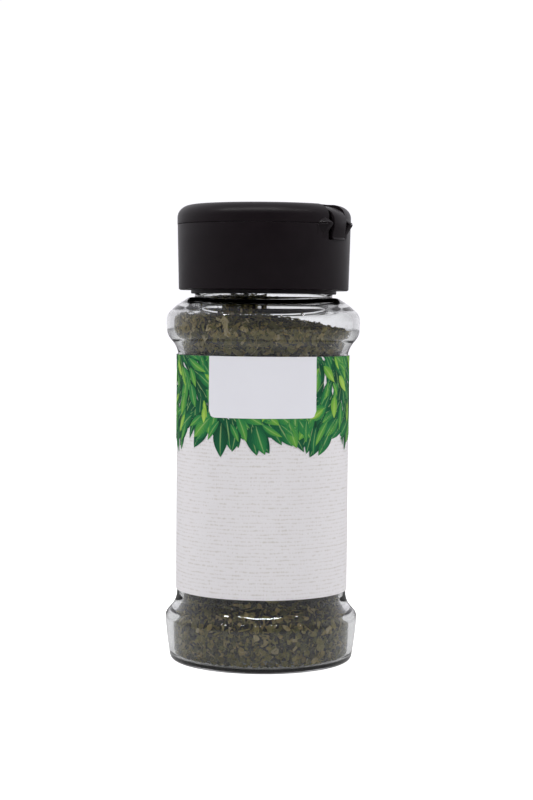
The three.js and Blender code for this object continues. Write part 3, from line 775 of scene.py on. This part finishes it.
def make_label():
    outline = [
        (LABEL_INNER, LABEL_BOTTOM),
        (LABEL_RADIUS, LABEL_BOTTOM),
        (LABEL_RADIUS, LABEL_TOP),
        (LABEL_INNER, LABEL_TOP),
    ]
    start = math.pi + LABEL_OPEN / 2
    bm = lathe(outline, closed=True, angle=TURN - LABEL_OPEN, start=start, steps=LABEL_STEPS)
    layer = bm.loops.layers.uv.new("label")
    for face in bm.faces:
        middle = face.calc_center_median()
        around = math.atan2(middle.x, -middle.y)
        for loop in face.loops:
            angle = math.atan2(loop.vert.co.x, -loop.vert.co.y)
            angle += TURN * round((around - angle) / TURN)
            loop[layer].uv = (angle * LABEL_RADIUS, loop.vert.co.z)
    label = to_piece("paper_label", bm, label_paper())
    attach(label, "jar")
    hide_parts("label")


def make_field():
    """The white field at the top of the label's front, with rounded lower corners."""
    bm = bmesh.new()
    bmesh.ops.create_grid(bm, x_segments=48, y_segments=12, size=1)
    half_height = (LABEL_TOP - FIELD_BOTTOM) / 2
    middle = (LABEL_TOP + FIELD_BOTTOM) / 2
    for vert in bm.verts:
        arc = vert.co.x * FIELD_HALF
        height = middle + vert.co.y * half_height
        into_corner = abs(arc) - (FIELD_HALF - FIELD_CORNER)
        if into_corner > 0:
            lift = FIELD_CORNER - math.sqrt(max(0, FIELD_CORNER ** 2 - into_corner ** 2))
            share = (LABEL_TOP - height) / (LABEL_TOP - FIELD_BOTTOM)
            height += lift * share
        vert.co = (arc, height, 0)
    made = bmesh.ops.extrude_face_region(bm, geom=bm.faces[:])
    raised = [v for v in made["geom"] if isinstance(v, bmesh.types.BMVert)]
    for vert in bm.verts:
        vert.co.z = FIELD_BACK
    for vert in raised:
        vert.co.z = FIELD_FRONT
    bmesh.ops.recalc_face_normals(bm, faces=bm.faces)
    for vert in bm.verts:
        vert.co = wrapped(*vert.co)
    bmesh.ops.recalc_face_normals(bm, faces=bm.faces)
    field = to_piece("label_field", bm, field_paper())
    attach(field, "jar")


def leaf_pattern(fullness, sway):
    """A pointed leaf, one long and lying flat from its stalk at 0 to its tip at 1."""
    bm = bmesh.new()
    bm.loops.layers.uv.new("leaf")
    bmesh.ops.create_grid(bm, x_segments=9, y_segments=4, size=0.5, calc_uvs=True)
    for vert in bm.verts:
        along = vert.co.x + 0.5
        width = fullness * math.sin(math.pi * along ** 0.8) ** 0.85 if 0 < along < 1 else 0.012
        vert.co = (along, vert.co.y * width + sway * along * (1 - along), 0)
    bmesh.ops.remove_doubles(bm, verts=bm.verts, dist=1e-5)
    mesh = bpy.data.meshes.new("leaf")
    bm.to_mesh(mesh)
    bm.free()
    return mesh


def leaf_rows(draw, end, spacing, size, shade, share):
    """Leaves scattered evenly over the garland: arc, height, heading, size and shade of each."""
    leaves = []
    height = LABEL_TOP + 4
    while height > GARLAND_BOTTOM:
        for i in range(int(2 * end / spacing)):
            arc = -end + spacing * (i + draw.uniform(0, 1))
            place = height + draw.uniform(-0.5, 0.5) * spacing
            if place > LABEL_TOP + 3:
                continue
            hem = GARLAND_BOTTOM + GARLAND_WAVE * (math.sin(arc / 3.1) + math.sin(arc / 1.7 + 1))
            if place < hem or draw.random() > share:
                continue
            sway = GARLAND_SWAY * math.sin(arc / 6.5 + height / 4.2)
            heading = math.radians(-90) + sway + draw.uniform(-0.45, 0.45)
            long = size * draw.uniform(0.75, 1.2)
            leaves.append((arc, place, heading, long, shade + draw.uniform(-0.14, 0.14)))
        height -= spacing
    return leaves


def make_leaf_print():
    """A garland of plain pointed leaves round the upper part of the label, in three depths of green."""
    draw = random.Random(LEAF_SEED)
    end = (math.pi - LABEL_OPEN / 2) * LABEL_RADIUS - 0.6
    leaves = []
    for layer in GARLAND_LAYERS:
        leaves += leaf_rows(draw, end, *layer)
    patterns = [leaf_pattern(*form) for form in LEAF_FORMS]
    bm = bmesh.new()
    shades = []
    for i, (arc, height, heading, size, shade) in enumerate(leaves):
        mesh = draw.choice(patterns).copy()
        turn = Matrix.Rotation(heading, 4, "Z") @ Matrix.Diagonal((size, size, size, 1))
        front = LEAF_START + LEAF_DEPTH * i / len(leaves)
        mesh.transform(Matrix.Translation((arc, height, front)) @ turn)
        bm.from_mesh(mesh)
        shades += [shade] * len(mesh.polygons)
        bpy.data.meshes.remove(mesh)
    for vert in bm.verts:
        vert.co.y = min(vert.co.y, LABEL_TOP - PRINT_MARGIN)
        vert.co.x = max(-end, min(end, vert.co.x))
        vert.co = wrapped(*vert.co)
    leaves = to_piece("leaf_print", bm, leaf_ink())
    tint = leaves.data.attributes.new("leaf_shade", "FLOAT", "FACE")
    tint.data.foreach_set("value", np.array(shades, np.float32))
    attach(leaves, "jar")


# Dried parsley

inside = np.array(jar_inside())
heel_ring = int(np.argmin(inside[:, 1]))
floor_line = inside[: heel_ring + 1]
bore_line = inside[heel_ring:]


def bore_radius(height):
    return np.interp(height, bore_line[:, 1], bore_line[:, 0])


def floor_height(radius):
    return np.interp(radius, floor_line[:, 0], floor_line[:, 1])


def fill_top(x, y):
    across = (x - MOUND_PLACE) / (MOUND_RIGHT if x > MOUND_PLACE else MOUND_LEFT)
    deep = y / MOUND_DEEP
    return FILL_EDGE + FILL_SLOPE * x + MOUND_HEIGHT * math.exp(-across * across - deep * deep)


def make_core():
    """The heap behind the outermost flakes, crumpled like them."""
    line = [(radius, float(floor_height(radius)) + 0.8) for radius in (0, 4, 8, 12, 15, 17.5)]
    for height in np.arange(3.2, 74.8, 1.1):
        line.append((float(bore_radius(height)) - CORE_DEPTH, float(height)))
    line += [(CORE_RADIUS * share, CORE_TOP) for share in (1, 0.85, 0.7, 0.55, 0.4, 0.25, 0.1, 0)]
    bm = lathe(line, steps=110)
    for vert in bm.verts:
        rough = noise.noise(vert.co * 0.9) * 0.9
        radius = math.hypot(vert.co.x, vert.co.y)
        if vert.co.z > CORE_TOP - 0.5:
            if radius:
                edge = fill_top(21 * vert.co.x / max(radius, 1e-3), 21 * vert.co.y / max(radius, 1e-3))
                vert.co.xy *= (float(bore_radius(edge - 1.4)) - CORE_DEPTH) / CORE_RADIUS
            vert.co.z = fill_top(vert.co.x, vert.co.y) - 1.6 + rough
        elif radius:
            vert.co.xy *= 1 + rough * 0.5 / radius
    core = to_piece("parsley_core", bm, dried_core(), smooth=80)
    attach(core, "jar")
    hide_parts("parsley_fill")


def flake_pattern(draw, corners, narrow, curl, fold):
    """A torn, curled bit of leaf of half-length one, lying in X and Y."""
    bm = bmesh.new()
    bmesh.ops.create_circle(bm, cap_ends=True, segments=corners, radius=1)
    bmesh.ops.poke(bm, faces=bm.faces[:])
    for vert in bm.verts:
        torn = draw.uniform(0.62, 1.12)
        vert.co.x *= torn
        vert.co.y *= torn * narrow
        vert.co.z = curl * vert.co.x ** 2 + fold * abs(vert.co.y) + draw.uniform(-0.07, 0.07)
    bmesh.ops.recalc_face_normals(bm, faces=bm.faces)
    bmesh.ops.solidify(bm, geom=bm.faces[:], thickness=FLAKE_THICKNESS)
    mesh = bpy.data.meshes.new("flake")
    bm.to_mesh(mesh)
    bm.free()
    return mesh


def stem_pattern(draw):
    """A short bit of stalk, slightly bowed."""
    bm = bmesh.new()
    bmesh.ops.create_cone(bm, cap_ends=True, segments=5, radius1=0.1, radius2=0.075, depth=2)
    long = [e for e in bm.edges if abs(e.verts[0].co.z - e.verts[1].co.z) > 1]
    bmesh.ops.subdivide_edges(bm, edges=long, cuts=2)
    sway = draw.uniform(-0.25, 0.25)
    for vert in bm.verts:
        x, y, z = vert.co
        vert.co = (z, y, x + sway * (1 - z * z))
    bmesh.ops.recalc_face_normals(bm, faces=bm.faces)
    mesh = bpy.data.meshes.new("stem")
    bm.to_mesh(mesh)
    bm.free()
    return mesh


class Flakes:
    """Gathers seeded flakes into one piece, each pushed back inside the glass."""

    def __init__(self, seed, usual_shade):
        # The usual shade sets how light the flakes come out; for the bulge it is raised as painted light.
        self.usual_shade = usual_shade
        self.draw = random.Random(seed)
        self.patterns = [flake_pattern(self.draw, *form) for form in FLAKE_FORMS]
        self.stems = [stem_pattern(self.draw) for _ in range(3)]
        self.bm = bmesh.new()
        self.shades = []

    def shade(self):
        """Mostly green and olive, with some tan and brown bits."""
        draw = self.draw
        if draw.random() < 0.13:
            return draw.uniform(0.78, 1.0)
        return min(0.8, max(0.02, draw.gauss(self.usual_shade, 0.24)))

    def add(self, centre, out, size, tilt, stem=False):
        """Adds a flake that faces out, tilted by so many degrees, at its centre or as near as it fits."""
        draw = self.draw
        mesh = draw.choice(self.stems if stem else self.patterns).copy()
        lean = Matrix.Rotation(draw.uniform(0, TURN), 4, "Z") @ Matrix.Rotation(math.radians(tilt), 4, "X")
        spin = Matrix.Rotation(draw.uniform(0, TURN), 4, "Z")
        face = out.to_track_quat("Z", "Y").to_matrix().to_4x4()
        mesh.transform(face @ lean @ spin @ Matrix.Diagonal((size, size, size, 1)))
        corners = np.zeros(len(mesh.vertices) * 3, np.float32)
        mesh.vertices.foreach_get("co", corners)
        corners = corners.reshape(-1, 3) + np.array(centre)
        inward = Vector((centre.x, centre.y, 0))
        inward = inward.normalized() if inward.length > 1e-6 else Vector((1, 0, 0))
        sunk = floor_height(np.hypot(corners[:, 0], corners[:, 1])) + 0.1 - corners[:, 2]
        shift = Vector((0, 0, max(0.0, float(sunk.max()))))
        for _ in range(3):
            moved = corners + np.array(shift)
            past = np.hypot(moved[:, 0], moved[:, 1]) - (bore_radius(moved[:, 2]) - GLASS_CLEAR)
            shift -= inward * max(0.0, float(past.max()))
        mesh.transform(Matrix.Translation(Vector(centre) + shift))
        self.bm.from_mesh(mesh)
        self.shades += [self.shade()] * len(mesh.polygons)
        bpy.data.meshes.remove(mesh)

    def done(self, name, material):
        piece = to_piece(name, self.bm, material, smooth=50)
        tint = piece.data.attributes.new("flake_shade", "FLOAT", "FACE")
        tint.data.foreach_set("value", np.array(self.shades, np.float32))
        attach(piece, "jar")


def wall_flakes(material, name, seed, low, high, pitch, depths, sizes, stems, shade):
    """Flakes lying against the glass, in rings from the lowest height up to the top of the filling."""
    flakes = Flakes(seed, shade)
    draw = flakes.draw
    for depth in depths:
        for row in range(int((high - low) / pitch)):
            count = round(TURN * (bore_radius(low + row * pitch) - depth) / pitch)
            for i in range(count):
                angle = (i + draw.uniform(0, 1)) * TURN / count
                height = low + (row + draw.uniform(0, 1)) * pitch
                radius = float(bore_radius(height)) - depth - draw.uniform(0, 0.35)
                x, y = radius * math.sin(angle), -radius * math.cos(angle)
                if height > fill_top(x, y) - 0.3:
                    continue
                tilt = draw.choice((draw.uniform(0, 30), draw.uniform(0, 30), draw.uniform(30, 75)))
                stem = draw.random() < stems
                size = draw.uniform(*sizes) * (1.1 if stem else 1)
                flakes.add(Vector((x, y, height)), Vector((x, y, 0)).normalized(), size, tilt, stem)
    flakes.done(name, material)


def top_flakes(material):
    """The loose top of the heap, the bits that cling above it, and the lowest layer on the glass floor."""
    flakes = Flakes(TOP_SEED, TOP_SHADE)
    draw = flakes.draw
    for layer, count in enumerate(TOP_LAYERS):
        for _ in range(count):
            radius = 21.2 * math.sqrt(draw.random())
            angle = draw.uniform(0, TURN)
            x, y = radius * math.sin(angle), -radius * math.cos(angle)
            height = fill_top(x, y) - 1.5 + 0.5 * layer + draw.uniform(-0.2, 0.35)
            if radius > bore_radius(height) - 0.4:
                continue
            out = Vector((draw.uniform(-0.5, 0.5), draw.uniform(-0.5, 0.5), 1)).normalized()
            size = draw.uniform(0.5, 1.35)
            tilt = draw.uniform(0, 60)
            flakes.add(Vector((x, y, height)), out, size, tilt, draw.random() < 0.08)
    for _ in range(CLINGING_FLAKES):
        angle = math.radians(draw.gauss(-35, 40))
        height = draw.uniform(80.5, 86.5)
        radius = float(bore_radius(height))
        x, y = radius * math.sin(angle), -radius * math.cos(angle)
        if height > fill_top(x, y) + 5.2:
            continue
        size = draw.uniform(0.3, 0.8)
        flakes.add(Vector((x, y, height)), Vector((x, y, 6)).normalized(), size, draw.uniform(0, 70))
    for _ in range(LOWEST_FLAKES):
        radius = 20.3 * math.sqrt(draw.random())
        angle = draw.uniform(0, TURN)
        height = float(floor_height(radius)) + draw.uniform(0.3, 1.1)
        place = Vector((radius * math.sin(angle), -radius * math.cos(angle), height))
        size = draw.uniform(0.8, 1.8)
        tilt = draw.uniform(0, 40)
        flakes.add(place, Vector((0, 0, 1)), size, tilt, draw.random() < 0.05)
    flakes.done("parsley_top_and_bottom", material)


def make_parsley():
    make_core()
    leaf = dried_leaf()
    for row in WALL_FLAKES:
        wall_flakes(leaf, *row)
    top_flakes(leaf)


# Cap, lid and hinge


def cap_outline():
    shell_bore = CAP_BOTTOM_RADIUS - SHELL_WALL
    top = PARTING - PARTING_GAP / 2
    rim = CAP_RADIUS - SHELL_WALL
    collar = COLLAR_BORE + COLLAR_WALL
    low, high = CAP_THREAD_ROOM
    line = [(0, DECK_BOTTOM), (SKIRT_BORE, DECK_BOTTOM), (SKIRT_BORE, high)]
    rows = round((high - low) / THREAD_ROW)
    line += [(SKIRT_BORE, high - (high - low) * (i + 1) / rows) for i in range(rows)]
    line.append((SKIRT_BORE, SKIRT_BOTTOM + 0.35))
    bend(line, (SKIRT_BORE, SKIRT_BOTTOM), (SKIRT_BORE + 0.42, SKIRT_BOTTOM), steps=3)
    bend(line, (SKIRT_RADIUS, SKIRT_BOTTOM), (SKIRT_RADIUS, SKIRT_BOTTOM + 0.35), steps=3)
    line += [(SKIRT_RADIUS, DECK_BOTTOM - 0.4), (shell_bore, DECK_BOTTOM - 0.4)]
    line.append((shell_bore, CAP_BOTTOM + 0.45))
    bend(line, (shell_bore, CAP_BOTTOM), (shell_bore + 0.5, CAP_BOTTOM), steps=4)
    line.append((CAP_BOTTOM_RADIUS - 0.35, CAP_BOTTOM))
    line.append((CAP_BOTTOM_RADIUS, CAP_BOTTOM + 0.25))
    line.append((CAP_BOTTOM_RADIUS + 0.006, CAP_BOTTOM + 0.3))
    line.append((CAP_RADIUS - 0.08, 100))
    line.append((CAP_RADIUS, top - 0.08))
    bend(line, (CAP_RADIUS, top), (CAP_RADIUS - 0.08, top), steps=3)
    line += [(rim, top), (rim, DECK_TOP + 0.3)]
    bend(line, (rim, DECK_TOP), (rim - 0.3, DECK_TOP), steps=3)
    line += [(collar + 0.2, DECK_TOP)]
    bend(line, (collar, DECK_TOP), (collar, DECK_TOP + 0.2), steps=3)
    line.append((collar, COLLAR_TOP - 0.4))
    bend(line, (collar, COLLAR_TOP), (collar - 0.45, COLLAR_TOP), steps=4)
    bend(line, (COLLAR_BORE, COLLAR_TOP), (COLLAR_BORE, COLLAR_TOP - 0.4), steps=4)
    line += [(COLLAR_BORE, DECK_TOP), (0, DECK_TOP)]
    return line


def ear(side, hinge_height, wall_height):
    """A wedge beside the strap, which carries the hinge line and fades into the wall."""
    corners = [
        (EAR_ROOT, EAR_INNER, hinge_height),
        (HINGE_REACH, EAR_INNER, hinge_height),
        (HINGE_REACH, EAR_OUTER, hinge_height),
        (EAR_ROOT, EAR_END, hinge_height),
        (EAR_ROOT + 0.7, EAR_INNER, wall_height),
        (EAR_ROOT + 0.6, EAR_OUTER, wall_height),
        (EAR_ROOT, EAR_INNER, wall_height),
        (EAR_ROOT, EAR_OUTER, wall_height),
    ]
    return hull([at_hinge(out, side * along, up) for out, along, up in corners], EAR_ROUNDING)


def sifter_holes():
    bm = bmesh.new()
    for radius, count in SIFTER_RINGS:
        for i in range(count):
            angle = (i + 0.5) * TURN / count
            place = Matrix.Translation((radius * math.cos(angle), radius * math.sin(angle), DECK_TOP))
            bmesh.ops.create_cone(
                bm, cap_ends=True, segments=32, radius1=SIFTER_HOLE_RADIUS, radius2=SIFTER_HOLE_RADIUS,
                depth=4, matrix=place,
            )
    return bm


def make_cap(plastic):
    bm = lathe(cap_outline())
    cut_thread(
        bm, SKIRT_BORE, CAP_THREAD_ROOM, CAP_THREAD_START, CAP_THREAD_TURNS, -1, CAP_THREAD_CENTRE
    )
    bmesh.ops.recalc_face_normals(bm, faces=bm.faces)
    top = PARTING - PARTING_GAP / 2
    for side in (1, -1):
        bm = combined(bm, ear(side, top, top - EAR_DROP), "UNION")
    slot_depth = CAP_RADIUS - SHELL_WALL - 0.2
    slot = hinge_block(slot_depth, HINGE_REACH + 1, SLOT_WIDTH, SLOT_BOTTOM, PARTING + 0.5)
    bm = combined(bm, slot, "DIFFERENCE")
    bm = combined(bm, sifter_holes(), "DIFFERENCE")
    cap = to_piece("screw_cap", bm, plastic, smooth=38)
    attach(cap, "cap")
    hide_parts("cap_base")


def lid_outline():
    bottom = PARTING + PARTING_GAP / 2
    inner = LID_RADIUS - LID_WALL
    plug_bore = PLUG_RADIUS - PLUG_WALL
    line = [(0, LID_CEILING), (plug_bore - 0.3, LID_CEILING)]
    bend(line, (plug_bore, LID_CEILING), (plug_bore, LID_CEILING - 0.3), steps=3)
    line.append((plug_bore, PLUG_BOTTOM + 0.15))
    bend(line, (plug_bore, PLUG_BOTTOM), (plug_bore + 0.25, PLUG_BOTTOM), steps=3)
    bend(line, (PLUG_RADIUS - 0.25, PLUG_BOTTOM), (PLUG_RADIUS, PLUG_BOTTOM + 0.6), steps=4)
    line += [(PLUG_RADIUS, LID_CEILING), (inner - 0.9, LID_CEILING)]
    bend(line, (inner, LID_CEILING), (inner, LID_CEILING - 0.9), steps=5)
    line += [(inner, bottom), (LID_RADIUS - 0.08, bottom)]
    bend(line, (LID_RADIUS, bottom), (LID_RADIUS, bottom + 0.08), steps=3)
    corners = 14
    for i in range(corners + 1):
        angle = i / corners * math.pi / 2
        line.append((
            LID_RADIUS - LID_CORNER_RUN * (1 - math.cos(angle)),
            LID_CORNER_START + LID_CORNER_RISE * math.sin(angle),
        ))
    bend(line, (9, LID_HEIGHT - 0.05), (0, LID_HEIGHT), steps=10)
    return line


def thumb_lip(bottom):
    inner = LID_RADIUS - LID_WALL / 2
    outer = LID_RADIUS + THUMB_REACH
    half = THUMB_WIDTH / 2
    corners = [
        (inner - 0.4, half, bottom),
        (outer - 0.3, half - 2, bottom),
        (outer, half - 3, bottom + 0.3),
        (inner - 0.4, half, bottom + THUMB_THICKNESS + 0.6),
        (outer - 0.2, half - 3, bottom + THUMB_THICKNESS),
    ]
    return hull([at_hinge(-out, side * along, up) for out, along, up in corners for side in (1, -1)], 0.2)


def make_lid(plastic):
    bottom = PARTING + PARTING_GAP / 2
    bm = lathe(lid_outline())
    for side in (1, -1):
        bm = combined(bm, ear(side, bottom, bottom + EAR_RISE), "UNION")
    bm = combined(bm, thumb_lip(bottom), "UNION")
    slot = hinge_block(SLOT_INNER, HINGE_REACH + 1, SLOT_WIDTH, PARTING - 1, LID_HEIGHT + 1)
    bm = combined(bm, slot, "DIFFERENCE")
    lid = to_piece("flip_lid", bm, plastic, smooth=38)
    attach(lid, "lid")
    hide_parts("lid")


def make_strap(plastic):
    """The springy tongue from the foot of the slot, out past the hinge line, to the top of the lid."""
    front = [(20.5, SLOT_BOTTOM - 0.02), (21.1, SLOT_BOTTOM)]
    bend(front, (21.35, SLOT_BOTTOM + 0.15), (20.8, SLOT_BOTTOM + 0.6), steps=4)
    bend(front, (21.05, 102), (21.5, 103.2), (21.4, 104.5), steps=12)
    bend(front, (21.3, 106.3), (20.3, 107.7), (SLOT_INNER + 0.1, 108.4), steps=16)
    back = [(SLOT_INNER + 0.1, 107.6)]
    bend(back, (19.5, 107.1), (20.4, 105.9), (20.45, 104.4), steps=16)
    bend(back, (20.45, 103.2), (20.2, 101.9), (19.75, SLOT_BOTTOM - 0.02), steps=12)
    bm = bmesh.new()
    verts = [bm.verts.new(at_hinge(out, -STRAP_WIDTH / 2, up)) for out, up in front + back]
    bm.faces.new(verts)
    made = bmesh.ops.extrude_face_region(bm, geom=bm.faces[:])
    moved = [v for v in made["geom"] if isinstance(v, bmesh.types.BMVert)]
    bmesh.ops.translate(bm, vec=HINGE_ALONG * STRAP_WIDTH, verts=moved)
    bmesh.ops.recalc_face_normals(bm, faces=bm.faces)
    rims = [e for e in bm.edges if any(len(f.verts) > 8 for f in e.link_faces)]
    bmesh.ops.bevel(bm, geom=rims, offset=0.12, segments=2, profile=0.5, affect="EDGES", material=-1)
    strap = to_piece("hinge_strap_band", bm, plastic, smooth=38)
    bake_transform(strap)
    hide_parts("hinge_strap")


def make_seal():
    line = [(SEAL_BORE + 0.15, SEAL_BOTTOM), (SEAL_RADIUS - 0.15, SEAL_BOTTOM)]
    bend(line, (SEAL_RADIUS, SEAL_BOTTOM), (SEAL_RADIUS, SEAL_BOTTOM + 0.15), steps=3)
    line.append((SEAL_RADIUS, SEAL_TOP - 0.15))
    bend(line, (SEAL_RADIUS, SEAL_TOP), (SEAL_RADIUS - 0.15, SEAL_TOP), steps=3)
    line.append((SEAL_BORE + 0.15, SEAL_TOP))
    bend(line, (SEAL_BORE, SEAL_TOP), (SEAL_BORE, SEAL_TOP - 0.15), steps=3)
    line.append((SEAL_BORE, SEAL_BOTTOM + 0.15))
    bend(line, (SEAL_BORE, SEAL_BOTTOM), (SEAL_BORE + 0.15, SEAL_BOTTOM), steps=3)
    seal = to_piece("foam_sealing_ring", lathe(line[:-1], closed=True), seal_foam())
    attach(seal, "seal")
    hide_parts("sealing_ring")


# Floor


def make_floor():
    bm = bmesh.new()
    bmesh.ops.create_grid(bm, x_segments=1, y_segments=1, size=FLOOR_HALF)
    bmesh.ops.translate(bm, vec=(0, 0, -FLOOR_GAP), verts=bm.verts)
    floor = to_piece("floor", bm, floor_white())


set_camera()
bpy.context.scene.view_settings.view_transform = "Standard"
set_studio_walls()
set_lights()
make_floor()
make_jar()
make_label()
make_field()
make_leaf_print()
make_parsley()
plastic = black_plastic()
make_cap(plastic)
make_lid(plastic)
make_strap(plastic)
make_seal()
